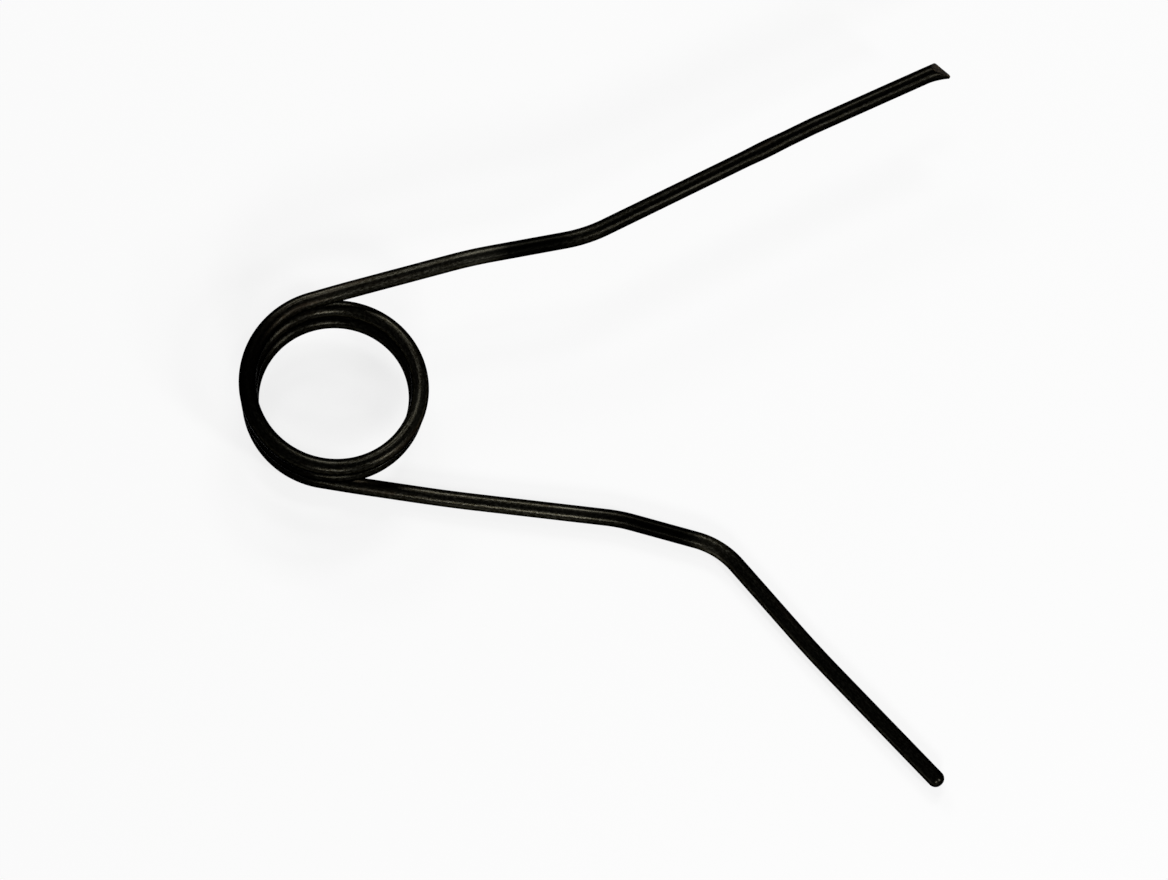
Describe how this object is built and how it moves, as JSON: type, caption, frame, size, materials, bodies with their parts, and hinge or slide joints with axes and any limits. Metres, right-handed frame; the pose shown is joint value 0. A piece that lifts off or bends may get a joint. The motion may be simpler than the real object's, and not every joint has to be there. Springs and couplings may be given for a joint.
{
  "type": "torsion spring",
  "caption": "Left-hand wound torsion spring of black steel wire: an open coil with two long cranked legs, one end pinched off, one rounded.",
  "frame": {"origin": "middle of the coil, on its axis", "axes": "+Z along the coil's axis, out of the side that the upper leg leaves; +X the way the lower leg leaves the coil"},
  "size_m": [0.132, 0.1307, 0.0158],
  "materials": {
    "black_wire": "black oxide on oil-tempered steel wire, drawn and lightly oiled"
  },
  "bodies": {
    "root": {"spring_wire": "black_wire"}
  },
  "joints": []
}
